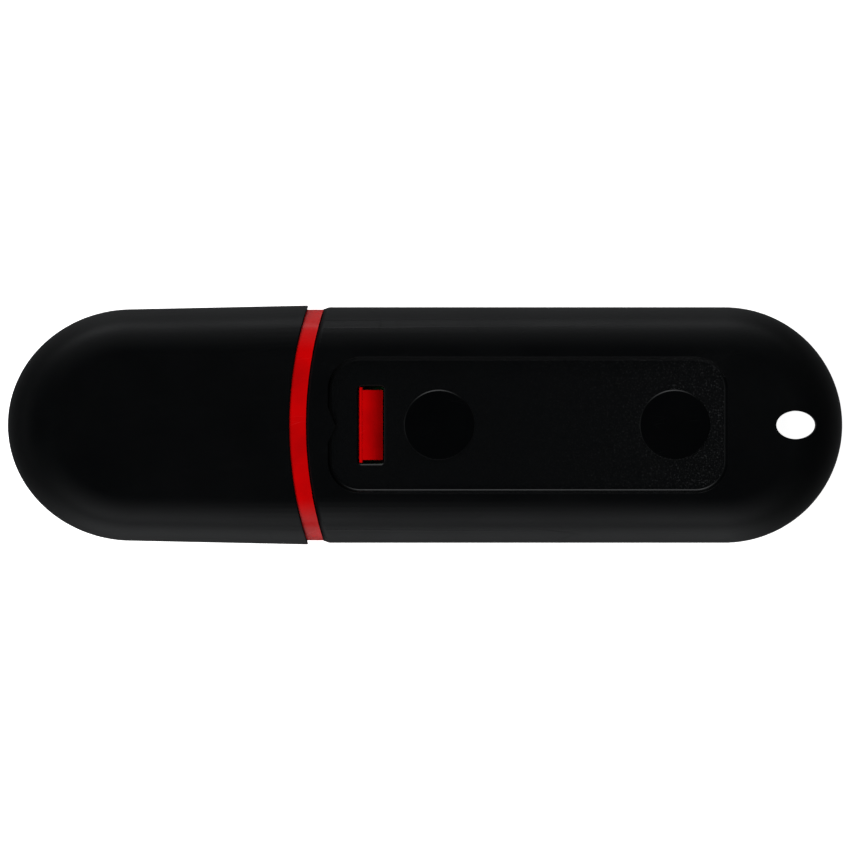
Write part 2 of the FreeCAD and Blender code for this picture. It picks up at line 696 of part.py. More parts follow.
# ---------------------------------------------------------------- build and write
def build():
    parts = {
        "cap": [make_cap()],
        "body_shell": [make_body_shell()],
        "carrier_frame": [make_carrier()],
        "plug_shell": [make_plug_shell()],
        "plug_insulator": [make_insulator()],
        "circuit_board": [make_board()],
    }
    parts.update({name: [contact] for name, contact in make_contacts().items()})
    parts.update(board_parts())
    return parts


def write(parts):
    os.makedirs("parts", exist_ok=True)
    for name, shapes in parts.items():
        solids = [solid for shape in shapes for solid in shape.Solids]
        volume = sum(solid.Volume for solid in solids)
        sound = all(solid.isValid() and solid.isClosed() for solid in solids)
        print(f"{name}: {len(solids)} solids, {volume:.3f} mm3, {'sound' if sound else 'NOT SOUND'}")
        whole = solids[0] if len(solids) == 1 else Part.makeCompound(solids)
        whole.exportStep(f"parts/{name}.step")


write(build())
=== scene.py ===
import bpy
import bmesh
import math
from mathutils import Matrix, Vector


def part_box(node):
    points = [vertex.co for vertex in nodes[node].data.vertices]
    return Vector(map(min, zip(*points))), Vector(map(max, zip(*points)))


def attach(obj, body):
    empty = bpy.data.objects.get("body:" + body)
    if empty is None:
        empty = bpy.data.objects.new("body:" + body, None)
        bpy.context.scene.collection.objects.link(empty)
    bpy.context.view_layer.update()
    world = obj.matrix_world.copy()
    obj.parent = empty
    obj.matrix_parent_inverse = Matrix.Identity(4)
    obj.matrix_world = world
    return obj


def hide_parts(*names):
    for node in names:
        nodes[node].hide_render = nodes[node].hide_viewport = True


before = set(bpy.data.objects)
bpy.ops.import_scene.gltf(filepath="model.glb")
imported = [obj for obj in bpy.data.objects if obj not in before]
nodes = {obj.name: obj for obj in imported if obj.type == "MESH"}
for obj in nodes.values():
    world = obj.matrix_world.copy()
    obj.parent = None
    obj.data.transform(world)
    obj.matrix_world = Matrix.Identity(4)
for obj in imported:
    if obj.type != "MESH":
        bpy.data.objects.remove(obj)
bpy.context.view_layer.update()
mm = 0.001
tiny = 0.002 * mm  # how near counts as on a plane

# Places that several pieces share come from the CAD nodes.
capLow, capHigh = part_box("cap")
bodyLow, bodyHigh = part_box("body_shell")
plugLow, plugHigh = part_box("plug_shell")
print("frame loaded with", len(nodes), "nodes")

case = {
    "wall": 1.2 * mm,
    "edgeRound": 3.4 * mm,
    "innerRound": 2.2 * mm,
    "mouthArc": 28.8 * mm,
    "bandWidth": 1.2 * mm,
    "seatGap": 0.012 * mm,
    "noseSides": 256,
    "arcSides": 900,
    "roundSteps": 14,
    "innerSteps": 10,
    "overcut": 1 * mm,  # how far a cutter passes what it cuts
}
topZ = bodyHigh.z
middleZ = topZ / 2
tailX = bodyHigh.x
bodyHalf = bodyHigh.y
bodyMouthX = bodyLow.x
capMouthX = bodyMouthX - case["bandWidth"]
ceilingZ = topZ - case["wall"]


# modelling as by hand, with the operators
def onlySelect(piece):
    if bpy.context.object and bpy.context.object.mode != "OBJECT":
        bpy.ops.object.mode_set(mode="OBJECT")
    bpy.ops.object.select_all(action="DESELECT")
    piece.select_set(True)
    bpy.context.view_layer.objects.active = piece


def startEdit(piece, kind="FACE"):
    onlySelect(piece)
    bpy.ops.object.mode_set(mode="EDIT")
    bpy.ops.mesh.select_mode(type=kind)


def endEdit():
    bpy.ops.object.mode_set(mode="OBJECT")


def near(a, b):
    return abs(a - b) < tiny


def pickFaces(piece, test):  # test(centre, normal)
    bpy.ops.mesh.select_mode(type="FACE")
    bpy.ops.mesh.select_all(action="DESELECT")
    cage = bmesh.from_edit_mesh(piece.data)
    for face in cage.faces:
        if test(face.calc_center_median(), face.normal):
            face.select_set(True)
    bmesh.update_edit_mesh(piece.data)


def pickEdges(piece, test):  # test(one end, other end)
    bpy.ops.mesh.select_mode(type="EDGE")
    bpy.ops.mesh.select_all(action="DESELECT")
    cage = bmesh.from_edit_mesh(piece.data)
    for edge in cage.edges:
        if test(edge.verts[0].co, edge.verts[1].co):
            edge.select_set(True)
    bmesh.update_edit_mesh(piece.data)


def bevelPicked(width, steps):
    bpy.ops.mesh.bevel(offset=width, segments=steps, profile=0.5, affect="EDGES", clamp_overlap=False)


def applyPlace(piece):
    onlySelect(piece)
    bpy.ops.object.transform_apply(location=True, rotation=True, scale=True)


def newBlock(name, low, high):
    bpy.ops.object.select_all(action="DESELECT")
    centre = [(a + b) / 2 for a, b in zip(low, high)]
    bpy.ops.mesh.primitive_cube_add(size=1, location=centre)
    piece = bpy.context.object
    piece.name = name
    piece.scale = [b - a for a, b in zip(low, high)]
    applyPlace(piece)
    return piece


def newBar(name, lowX, highX, half, lowZ, highZ, rounding, steps):  # along X, with round long edges
    piece = newBlock(name, (lowX, -half, lowZ), (highX, half, highZ))
    startEdit(piece)
    pickEdges(piece, lambda a, b: near(a.y, b.y) and near(a.z, b.z))
    bevelPicked(rounding, steps)
    endEdit()
    return piece


def newRound(name, x, y, lowZ, highZ, radiusX, radiusY, sides):  # an upright cylinder, round or oval
    bpy.ops.object.select_all(action="DESELECT")
    centre = (x, y, (lowZ + highZ) / 2)
    bpy.ops.mesh.primitive_cylinder_add(vertices=sides, radius=1, depth=1, location=centre)
    piece = bpy.context.object
    piece.name = name
    piece.scale = (radiusX, radiusY, highZ - lowZ)
    applyPlace(piece)
    return piece


def newPill(name, centreX, radiusX, half, endX, endHalf, lowZ, highZ, rounding, steps):
    # half of an oval plan at centreX, then straight sides to a flat end at endX
    piece = newRound(name, centreX, 0, lowZ, highZ, radiusX, half, case["noseSides"])
    startEdit(piece, "EDGE")
    bpy.ops.mesh.select_all(action="SELECT")
    towardsEnd = math.copysign(1, endX - centreX)
    bpy.ops.mesh.bisect(plane_co=(centreX, 0, 0), plane_no=(towardsEnd, 0, 0), clear_outer=True)
    pickEdges(piece, lambda a, b: near(a.x, centreX) and near(b.x, centreX))
    bpy.ops.mesh.extrude_region_move(TRANSFORM_OT_translate={"value": (endX - centreX, 0, 0)})
    bpy.ops.transform.resize(value=(1, endHalf / half, 1), center_override=(endX, 0, 0))
    bpy.ops.mesh.edge_face_add()
    bpy.ops.mesh.select_all(action="SELECT")
    bpy.ops.mesh.normals_make_consistent(inside=False)

    def onRim(a, b):
        level = near(a.z, b.z)
        across = near(a.x, b.x) and abs(a.y - b.y) > half
        return level and not across

    pickEdges(piece, onRim)
    bevelPicked(rounding, steps)
    endEdit()
    return piece


def newMouthCutter(name, apexX):
    return newRound(name, apexX + case["mouthArc"], 0, -topZ, 2 * topZ, case["mouthArc"], case["mouthArc"],
                    case["arcSides"])


def combine(piece, tool, how):  # UNION, DIFFERENCE or INTERSECT, and the tool is used up
    change = piece.modifiers.new("combine", "BOOLEAN")
    change.operation = how
    change.object = tool
    change.solver = "MANIFOLD"
    onlySelect(piece)
    bpy.ops.object.modifier_apply(modifier=change.name)
    bpy.data.objects.remove(tool)


def roundMouthRim(piece, apexX, width, steps):
    axisX = apexX + case["mouthArc"]

    def onArc(point):
        return abs(math.hypot(point.x - axisX, point.y) - case["mouthArc"]) < 5 * tiny

    reach = max(abs(corner.co.y) for corner in piece.data.vertices if onArc(corner.co))

    def onRim(a, b):
        facetEdge = near(a.x, b.x) and near(a.y, b.y) and abs(a.y) < reach - 5 * tiny
        return onArc(a) and onArc(b) and not facetEdge

    startEdit(piece)
    pickEdges(piece, onRim)
    bevelPicked(width, steps)
    endEdit()


def finish(piece, body, replaced, sharpAngle=35):
    onlySelect(piece)
    bpy.ops.object.shade_smooth_by_angle(angle=math.radians(sharpAngle))
    even = piece.modifiers.new("even", "WEIGHTED_NORMAL")
    even.keep_sharp = True
    even.mode = "FACE_AREA_WITH_ANGLE"
    bpy.ops.object.modifier_apply(modifier=even.name)
    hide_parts(replaced)
    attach(piece, body)
    print("made", piece.name, "with", len(piece.data.polygons), "faces")


# camera straight above, over the middle of the object
shot = {
    "height": 2.0,  # above the middle of the case
    "frameWidth": 62.78 * mm,  # at that middle
    "sensor": 36,
    "nearEnd": 0.01,
    "farEnd": 10,
}
cameraData = bpy.data.cameras.new("shotCamera")
cameraData.sensor_width = shot["sensor"]
cameraData.lens = shot["sensor"] * shot["height"] / shot["frameWidth"]
cameraData.clip_start = shot["nearEnd"]
cameraData.clip_end = shot["farEnd"]
shotCamera = bpy.data.objects.new("shotCamera", cameraData)
shotCamera.location = (0, 0, middleZ + shot["height"])
bpy.context.collection.objects.link(shotCamera)
bpy.context.scene.camera = shotCamera
bpy.context.scene.view_settings.view_transform = "Standard"
print("camera placed")


# node trees
def addNode(tree, kind, settings=None, values=None):
    node = tree.nodes.new(kind)
    for name, value in (settings or {}).items():
        setattr(node, name, value)
    for name, value in (values or {}).items():
        node.inputs[name].default_value = value
    return node


def wire(tree, fromNode, output, toNode, socket):
    tree.links.new(fromNode.outputs[output], toNode.inputs[socket])


def mathNode(tree, operation, first, second=None, clamp=False):  # a number or (node, output)
    node = addNode(tree, "ShaderNodeMath", {"operation": operation, "use_clamp": clamp})
    for place, value in enumerate((first, second)):
        if isinstance(value, tuple):
            wire(tree, value[0], value[1], node, place)
        elif value is not None:
            node.inputs[place].default_value = value
    return node


def remap(tree, source, fromLow, fromHigh, toLow, toHigh):
    node = addNode(tree, "ShaderNodeMapRange", {"clamp": True}, {
        "From Min": fromLow, "From Max": fromHigh, "To Min": toLow, "To Max": toHigh})
    wire(tree, source[0], source[1], node, "Value")
    return node


def mixColours(tree, mask, first, second):
    node = addNode(tree, "ShaderNodeMix", {"data_type": "RGBA"})
    wire(tree, mask[0], mask[1], node, 0)
    for place, value in ((6, first), (7, second)):
        if isinstance(value[0], bpy.types.Node):
            tree.links.new(value[0].outputs[value[1]], node.inputs[place])
        else:
            node.inputs[place].default_value = (*value, 1)
    return node


def startGroup(name, inputs, outputs):
    tree = bpy.data.node_groups.new(name, "ShaderNodeTree")
    for label, value in inputs.items():
        socket = tree.interface.new_socket(label, in_out="INPUT", socket_type="NodeSocketFloat")
        socket.default_value = value
    for label in outputs:
        tree.interface.new_socket(label, in_out="OUTPUT", socket_type="NodeSocketFloat")
    return tree, tree.nodes.new("NodeGroupInput"), tree.nodes.new("NodeGroupOutput")


def perMetre(tree, source, label):  # a size in mm made a texture scale
    return mathNode(tree, "DIVIDE", 1000.0, (source, label))


def stretched(tree, scale, turn=(0, 0, 0)):
    place = addNode(tree, "ShaderNodeTexCoord")
    mapping = addNode(tree, "ShaderNodeMapping", None, {"Scale": scale, "Rotation": turn})
    wire(tree, place, "Object", mapping, "Vector")
    return mapping


def makeMouldGrain():  # fine skin of a moulding, and slow patches over it
    tree, start, end = startGroup("mouldGrain", {"Grain Size": 0.06, "Patch Size": 4.0}, ["Grain", "Patch"])
    for label, output, detail in (("Grain Size", "Grain", 3.0), ("Patch Size", "Patch", 4.0)):
        noise = addNode(tree, "ShaderNodeTexNoise", None, {"Detail": detail, "Roughness": 0.55})
        wire(tree, stretched(tree, (1, 1, 1)), "Vector", noise, "Vector")
        wire(tree, perMetre(tree, start, label), 0, noise, "Scale")
        wire(tree, remap(tree, (noise, 0), 0.3, 0.7, 0.0, 1.0), 0, end, output)
    return tree


def makeHandlingMarks():  # hair scratches in two directions, and the smears of fingers
    tree, start, end = startGroup("handlingMarks", {"Spacing": 2.5, "Hair": 0.01, "Smear Size": 7.0},
                                  ["Scratches", "Smears"])
    strokes = []
    for turn in (0.35, -1.1):
        cells = addNode(tree, "ShaderNodeTexVoronoi", {"feature": "DISTANCE_TO_EDGE"})
        wire(tree, stretched(tree, (0.16, 1, 0.6), (0, 0, turn)), "Vector", cells, "Vector")
        wire(tree, perMetre(tree, start, "Spacing"), 0, cells, "Scale")
        far = mathNode(tree, "DIVIDE", (cells, 0), (start, "Hair"))
        strokes.append(mathNode(tree, "SUBTRACT", 1.0, (far, 0), clamp=True))
    both = mathNode(tree, "MAXIMUM", (strokes[0], 0), (strokes[1], 0))
    broken = addNode(tree, "ShaderNodeTexNoise", None, {"Detail": 2.0})
    wire(tree, stretched(tree, (1, 1, 1)), "Vector", broken, "Vector")
    wire(tree, perMetre(tree, start, "Spacing"), 0, broken, "Scale")
    shown = mathNode(tree, "MULTIPLY", (both, 0), (remap(tree, (broken, 0), 0.5, 0.66, 0.0, 1.0), 0))
    wire(tree, shown, 0, end, "Scratches")
    smear = addNode(tree, "ShaderNodeTexNoise", None, {"Detail": 5.0, "Distortion": 1.2})
    wire(tree, stretched(tree, (0.7, 1.3, 1), (0, 0, 0.5)), "Vector", smear, "Vector")
    wire(tree, perMetre(tree, start, "Smear Size"), 0, smear, "Scale")
    wire(tree, remap(tree, (smear, 0), 0.42, 0.68, 0.0, 1.0), 0, end, "Smears")
    return tree


def makeDrawnLines():  # the long fine lines of rolled or brushed metal, along X
    tree, start, end = startGroup("drawnLines", {"Line Width": 0.03}, ["Lines"])
    noise = addNode(tree, "ShaderNodeTexNoise", None, {"Detail": 4.0, "Roughness": 0.6})
    wire(tree, stretched(tree, (0.03, 1, 1)), "Vector", noise, "Vector")
    wire(tree, perMetre(tree, start, "Line Width"), 0, noise, "Scale")
    wire(tree, remap(tree, (noise, 0), 0.3, 0.7, 0.0, 1.0), 0, end, "Lines")
    return tree


def makeSparkTexture():  # the pitted skin that a spark-eroded mould leaves
    tree, start, end = startGroup("sparkTexture", {"Pit Size": 0.12}, ["Height", "Glints"])
    pits = addNode(tree, "ShaderNodeTexVoronoi", {"feature": "SMOOTH_F1"}, {"Smoothness": 0.6})
    fine = addNode(tree, "ShaderNodeTexNoise", None, {"Detail": 3.0, "Roughness": 0.7})
    for texture in (pits, fine):
        wire(tree, stretched(tree, (1, 1, 1)), "Vector", texture, "Vector")
        wire(tree, perMetre(tree, start, "Pit Size"), 0, texture, "Scale")
    wire(tree, mathNode(tree, "ADD", (pits, 0), (fine, 0)), 0, end, "Height")
    # Glints: a speckle mask, used as painted glints in the colour and also for roughness
    wire(tree, remap(tree, (fine, 0), 0.56, 0.72, 0.0, 1.0), 0, end, "Glints")
    return tree


mouldGrain = makeMouldGrain()
handlingMarks = makeHandlingMarks()
drawnLines = makeDrawnLines()
sparkTexture = makeSparkTexture()
print("shader groups made")


def useGroup(tree, group, values):
    node = addNode(tree, "ShaderNodeGroup")
    node.node_tree = group
    for name, value in values.items():
        node.inputs[name].default_value = value
    return node


def newMaterial(name, settings):  # settings go on the shader's own sockets
    material = bpy.data.materials.new(name)
    material.use_nodes = True
    tree = material.node_tree
    shader = tree.nodes["Principled BSDF"]
    for label, value in settings.items():
        shader.inputs[label].default_value = value
    return material, tree, shader


def setBump(tree, shader, height, depth):
    bump = addNode(tree, "ShaderNodeBump", None, {"Distance": depth, "Strength": 1.0})
    wire(tree, height[0], height[1], bump, "Height")
    wire(tree, bump, "Normal", shader, "Normal")


def wornFinish(name, settings, look):  # patchy colour with hair scratches over it
    material, tree, shader = newMaterial(name, settings)
    skin = useGroup(tree, mouldGrain, {"Grain Size": look["grain"], "Patch Size": look["patch"]})
    marks = useGroup(tree, handlingMarks, {"Spacing": look["spacing"], "Hair": look["hair"]})
    body = mixColours(tree, (skin, "Patch"), look["colour"], look["other"])
    worn = mathNode(tree, "MULTIPLY", (marks, "Scratches"), look["wear"])
    wire(tree, mixColours(tree, (worn, 0), (body, 2), look["worn"]), 2, shader, "Base Color")
    return material, tree, shader, skin, marks, worn


def wornRoughness(tree, shader, source, look, marks, worn):  # smears and scratches over the plain range
    low, high = look["rough"]
    plain = remap(tree, source, 0.0, 1.0, low, high)
    smeared = mathNode(tree, "MULTIPLY_ADD", (marks, "Smears"), look["smear"])
    wire(tree, plain, 0, smeared, 2)
    wire(tree, mathNode(tree, "ADD", (smeared, 0), (worn, 0), clamp=True), 0, shader, "Roughness")


def mouldedFinish(name, look):  # plastic, epoxy or ceramic
    material, tree, shader, skin, marks, worn = wornFinish(name, {}, look)
    wornRoughness(tree, shader, (skin, "Patch"), look, marks, worn)
    setBump(tree, shader, (skin, "Grain"), look["skin"] * mm)
    return material


def metalFinish(name, look):  # sheet or plate, with drawn lines
    material, tree, shader, skin, marks, worn = wornFinish(name, {"Metallic": 1.0}, look)
    lines = useGroup(tree, drawnLines, {"Line Width": look["line"]})
    wornRoughness(tree, shader, (lines, "Lines"), look, marks, worn)
    height = mathNode(tree, "MULTIPLY_ADD", (skin, "Grain"), 0.4)
    wire(tree, lines, "Lines", height, 2)
    setBump(tree, shader, (height, 0), look["skin"] * mm)
    return material


def pressedBlackPlastic():
    return mouldedFinish("blackPlastic", {
        "colour": (0.0009, 0.0011, 0.0013), "other": (0.0014, 0.0016, 0.0018), "worn": (0.006, 0.006, 0.006),
        "grain": 0.05, "patch": 6.0, "skin": 0.0012, "rough": (0.35, 0.42), "smear": 0.03,
        "spacing": 3.2, "hair": 0.0035, "wear": 0.2})


def polishedBlackPlastic():  # recess walls and pads
    return mouldedFinish("polishedBlackPlastic", {
        "colour": (0.0009, 0.0011, 0.0013), "other": (0.0014, 0.0016, 0.0018), "worn": (0.006, 0.006, 0.006),
        "grain": 0.05, "patch": 4.0, "skin": 0.0004, "rough": (0.1, 0.16), "smear": 0.05,
        "spacing": 2.6, "hair": 0.004, "wear": 0.2})


def sparkedBlackPlastic():  # the floor of the label recess
    material, tree, shader = newMaterial("sparkedBlackPlastic", {})
    spark = useGroup(tree, sparkTexture, {"Pit Size": 0.13})
    skin = useGroup(tree, mouldGrain, {"Grain Size": 0.05, "Patch Size": 5.0})
    parts = addNode(tree, "ShaderNodeSeparateXYZ")
    wire(tree, stretched(tree, (1, 1, 1)), "Vector", parts, "Vector")
    # painted glints: lighter flecks in the colour, brighter towards the tail, stand in for light falling on
    # that end
    paintedGlintRamp = remap(tree, (parts, "X"), padPlaces[0], recessHigh, 0.06, 1.0)
    paintedGlintFade = mathNode(tree, "POWER", (paintedGlintRamp, 0), 2.2)
    shown = mathNode(tree, "MULTIPLY", (spark, "Glints"), (paintedGlintFade, 0))
    body = mixColours(tree, (skin, "Patch"), (0.0004, 0.0006, 0.0008), (0.0008, 0.001, 0.0012))
    # the glint flecks are mixed into the base colour as painted highlights
    wire(tree, mixColours(tree, (shown, 0), (body, 2), (0.03, 0.031, 0.032)), 2, shader, "Base Color")
    wire(tree, remap(tree, (spark, "Glints"), 0.0, 1.0, 0.68, 0.5), 0, shader, "Roughness")
    setBump(tree, shader, (spark, "Height"), 0.006 * mm)
    return material


def redPlastic():
    return mouldedFinish("redPlastic", {
        "colour": (0.62, 0.0006, 0.0012), "other": (0.4, 0.0005, 0.0012), "worn": (0.62, 0.03, 0.03),
        "grain": 0.05, "patch": 4.5, "skin": 0.0008, "rough": (0.2, 0.28), "smear": 0.04,
        "spacing": 3.0, "hair": 0.004, "wear": 0.2})


def platedSteel():
    return metalFinish("platedSteel", {
        "colour": (0.62, 0.60, 0.56), "other": (0.55, 0.535, 0.5), "worn": (0.8, 0.79, 0.76),
        "line": 0.035, "grain": 0.08, "patch": 3.5, "skin": 0.0016, "rough": (0.17, 0.3), "smear": 0.1,
        "spacing": 2.0, "hair": 0.012, "wear": 0.35})


def goldPlate():
    return metalFinish("goldPlate", {
        "colour": (0.85, 0.6, 0.24), "other": (0.77, 0.53, 0.2), "worn": (0.93, 0.74, 0.42),
        "line": 0.02, "grain": 0.04, "patch": 0.9, "skin": 0.0008, "rough": (0.14, 0.24), "smear": 0.08,
        "spacing": 0.7, "hair": 0.015, "wear": 0.4})


def tinPlate():
    return metalFinish("tinPlate", {
        "colour": (0.7, 0.7, 0.71), "other": (0.58, 0.58, 0.6), "worn": (0.82, 0.82, 0.82),
        "line": 0.05, "grain": 0.03, "patch": 0.35, "skin": 0.0012, "rough": (0.28, 0.42), "smear": 0.1,
        "spacing": 0.8, "hair": 0.01, "wear": 0.2})


def nickelLid():
    return metalFinish("nickelLid", {
        "colour": (0.68, 0.65, 0.58), "other": (0.6, 0.58, 0.53), "worn": (0.8, 0.78, 0.72),
        "line": 0.02, "grain": 0.03, "patch": 0.8, "skin": 0.0008, "rough": (0.2, 0.3), "smear": 0.08,
        "spacing": 0.9, "hair": 0.012, "wear": 0.3})


def glassFilledNylon():  # short fibres show as pale flecks
    material, tree, shader = newMaterial("glassFilledNylon", {})
    skin = useGroup(tree, mouldGrain, {"Grain Size": 0.04, "Patch Size": 2.5})
    fibres = useGroup(tree, handlingMarks, {"Spacing": 0.45, "Hair": 0.03, "Smear Size": 3.0})
    body = mixColours(tree, (skin, "Patch"), (0.010, 0.010, 0.011), (0.016, 0.016, 0.017))
    shown = mathNode(tree, "MULTIPLY", (fibres, "Scratches"), 0.5)
    wire(tree, mixColours(tree, (shown, 0), (body, 2), (0.06, 0.06, 0.06)), 2, shader, "Base Color")
    wire(tree, remap(tree, (skin, "Patch"), 0.0, 1.0, 0.48, 0.6), 0, shader, "Roughness")
    setBump(tree, shader, (skin, "Grain"), 0.004 * mm)
    return material


def chipEpoxy():
    return mouldedFinish("chipEpoxy", {
        "colour": (0.018, 0.018, 0.020), "other": (0.024, 0.024, 0.026), "worn": (0.06, 0.06, 0.06),
        "grain": 0.035, "patch": 2.5, "skin": 0.005, "rough": (0.5, 0.62), "smear": 0.05,
        "spacing": 2.2, "hair": 0.01, "wear": 0.25})


def solderMask():  # green lacquer over copper tracks, with tinned vias
    material, tree, shader = newMaterial("solderMask", {"Coat Weight": 0.3, "Coat Roughness": 0.2})
    skin = useGroup(tree, mouldGrain, {"Grain Size": 0.08, "Patch Size": 5.0})
    tracks = addNode(tree, "ShaderNodeTexBrick", {"offset": 0.37, "squash": 1.0}, {
        "Scale": 1000.0, "Mortar Size": 0.07, "Mortar Smooth": 0.3, "Brick Width": 3.1, "Row Height": 0.52})
    vias = addNode(tree, "ShaderNodeTexVoronoi", {"feature": "F1", "voronoi_dimensions": "2D"},
                   {"Scale": 380.0, "Randomness": 0.8})
    wire(tree, stretched(tree, (1, 1, 1)), "Vector", tracks, "Vector")
    wire(tree, stretched(tree, (1, 1, 1)), "Vector", vias, "Vector")
    lacquer = mixColours(tree, (skin, "Patch"), (0.012, 0.085, 0.03), (0.017, 0.105, 0.037))
    tracked = mixColours(tree, (tracks, "Fac"), (lacquer, 2), (0.04, 0.2, 0.07))
    ring = remap(tree, (vias, 0), 0.075, 0.09, 1.0, 0.0)
    wire(tree, mixColours(tree, (ring, 0), (tracked, 2), (0.62, 0.6, 0.55)), 2, shader, "Base Color")
    wire(tree, mathNode(tree, "MULTIPLY", (ring, 0), 0.9), 0, shader, "Metallic")
    wire(tree, remap(tree, (skin, "Patch"), 0.0, 1.0, 0.28, 0.4), 0, shader, "Roughness")
    height = mathNode(tree, "MULTIPLY_ADD", (skin, "Grain"), 0.15)
    wire(tree, tracks, "Fac", height, 2)
    setBump(tree, shader, (height, 0), 0.015 * mm)
    return material


def ceramic(name, colour, other, rough):
    return mouldedFinish(name, {
        "colour": colour, "other": other, "worn": [min(1, 1.4 * c) for c in colour],
        "grain": 0.03, "patch": 0.4, "skin": 0.003, "rough": rough, "smear": 0.04,
        "spacing": 1.0, "hair": 0.01, "wear": 0.15})


def clearEpoxy():
    material, tree, shader = newMaterial("clearEpoxy", {"Transmission Weight": 0.85, "IOR": 1.52})
    skin = useGroup(tree, mouldGrain, {"Grain Size": 0.05, "Patch Size": 0.5})
    tint = mixColours(tree, (skin, "Patch"), (0.86, 0.93, 0.86), (0.8, 0.9, 0.8))
    wire(tree, tint, 2, shader, "Base Color")
    wire(tree, remap(tree, (skin, "Patch"), 0.0, 1.0, 0.1, 0.2), 0, shader, "Roughness")
    setBump(tree, shader, (skin, "Grain"), 0.001 * mm)
    return material


blackPlastic = pressedBlackPlastic()
nodeFinishes = {
    blackPlastic: "cap body_shell",
    redPlastic(): "carrier_frame",
    platedSteel(): "plug_shell",
    glassFilledNylon(): "plug_insulator",
    goldPlate(): "contact_vbus contact_data_minus contact_data_plus contact_ground",
    solderMask(): "circuit_board",
    chipEpoxy(): "flash_chip controller_chip regulator_body esd_array_body",
    tinPlate(): "flash_chip_leads controller_leads regulator_leads esd_array_leads bulk_capacitor_ends "
                "capacitor_ends resistor_ends input_fuse_ends",
    ceramic("trayCeramic", (0.5, 0.46, 0.39), (0.56, 0.51, 0.43), (0.4, 0.52)): "crystal_base",
    nickelLid(): "crystal_lid",
    ceramic("whiteLaminate", (0.7, 0.7, 0.66), (0.76, 0.76, 0.72), (0.45, 0.55)): "led_base",
    clearEpoxy(): "led_lens",
    ceramic("fusePolymer", (0.1, 0.17, 0.1), (0.13, 0.2, 0.12), (0.45, 0.55)): "input_fuse_body",
    ceramic("tanCeramic", (0.36, 0.25, 0.15), (0.42, 0.3, 0.19), (0.38, 0.5)):
        "capacitor_bodies bulk_capacitor_body",
    ceramic("resistorGlaze", (0.015, 0.015, 0.018), (0.022, 0.022, 0.026), (0.25, 0.35)): "resistor_bodies",
}
redFinish = bpy.data.materials["redPlastic"]
for material, names in nodeFinishes.items():
    for name in names.split():
        for place in nodes[name].material_slots:
            place.material = material
print("finishes on", len(nodes), "nodes")

# floor and light
studio = {
    "floorSize": 3.0,
    "floorGlow": 1.0,
    "metalPower": 3.0,
    "metalNodes": "plug_shell contact_vbus contact_data_minus contact_data_plus contact_ground "
                  "flash_chip_leads controller_leads crystal_lid capacitor_ends resistor_ends",
    "overheadSize": 0.9,
    "overheadHeight": 0.8,
    "overheadX": -0.42,
    "overheadPower": 10.3,
    "panelReach": 0.9,
    "panelHeight": 0.55,
    "panelSize": (0.9, 0.7),
    "lean": math.radians(8),  # the side lights stand a little towards the nose
    "spread": 8.6,  # higher is narrower
    "noseStrip": 0.12,
    # brightness against the sine of the height above the horizon
    "backWash": ((-1, 0.0), (-0.75, 0.1), (-0.4, 0.25), (-0.05, 0.26), (0.1, 0.1), (0.3, 0.1), (0.42, 0.25),
                 (0.56, 0.23), (0.71, 0.19), (0.83, 0.14), (0.91, 0.09), (0.97, 0.04), (1, 0.0)),
    "frontWash": ((-1, 0.0), (-0.75, 0.1), (-0.4, 0.42), (0.0, 0.62), (0.08, 0.62), (0.14, 0.06),
                  (0.3, 0.06), (0.36, 0.85), (0.56, 0.6), (0.71, 0.42), (0.83, 0.28), (0.91, 0.17),
                  (0.97, 0.07), (1, 0.0)),
    "roundLight": ((-1, 0.08), (-0.5, 0.06), (-0.2, 0.035), (0.3, 0.015), (0.8, 0.003), (1, 0.002)),
    "bar": ((-1, 0.0), (0.06, 0.0), (0.12, 1.15), (0.26, 1.15), (0.34, 0.0), (1, 0.0)),
}


def makeFloor():
    bpy.ops.object.select_all(action="DESELECT")
    bpy.ops.mesh.primitive_plane_add(size=studio["floorSize"], location=(0, 0, 0))
    floor = bpy.context.object
    floor.name = "floor"
    material, tree, shader = newMaterial("paleFloor", {
        "Specular IOR Level": 0.0, "Emission Strength": studio["floorGlow"]})
    skin = useGroup(tree, mouldGrain, {"Grain Size": 0.8, "Patch Size": 90.0})
    pale = mixColours(tree, (skin, "Patch"), (0.9, 0.9, 0.9), (0.92, 0.92, 0.92))
    wire(tree, pale, 2, shader, "Base Color")
    glow = mixColours(tree, (skin, "Patch"), (0.98, 0.98, 0.98), (1, 1, 1))
    wire(tree, glow, 2, shader, "Emission Color")
    floor.data.materials.append(material)
    floor.visible_glossy = False


def areaLight(name, place, aim, width, height, power, glossy):
    data = bpy.data.lights.new(name, "AREA")
    data.shape = "RECTANGLE"
    data.size = width
    data.size_y = height
    data.energy = power
    light = bpy.data.objects.new(name, data)
    light.location = place
    light.rotation_euler = (Vector(aim) - Vector(place)).to_track_quat("-Z", "Y").to_euler()
    light.visible_camera = False
    light.visible_glossy = glossy
    bpy.context.collection.objects.link(light)
    return light


def makeLights():
    size = studio["overheadSize"]
    light = areaLight("overhead", (studio["overheadX"], 0, studio["overheadHeight"]), (0, 0, 0), size, size,
                      studio["overheadPower"], False)
    light.data.cycles.use_multiple_importance_sampling = False  # or it would gloss the red
    # four panels stand round the object, for the metal only
    metal = bpy.data.collections.new("brightMetal")
    for name in studio["metalNodes"].split():
        metal.objects.link(nodes[name])
    for turn in range(4):
        angle = math.radians(45 + 90 * turn)
        reach = studio["panelReach"]
        place = (reach * math.cos(angle), reach * math.sin(angle), studio["panelHeight"])
        panel = areaLight("metalPanel", place, (0, 0, 0), *studio["panelSize"], studio["metalPower"], True)
        panel.light_linking.receiver_collection = metal


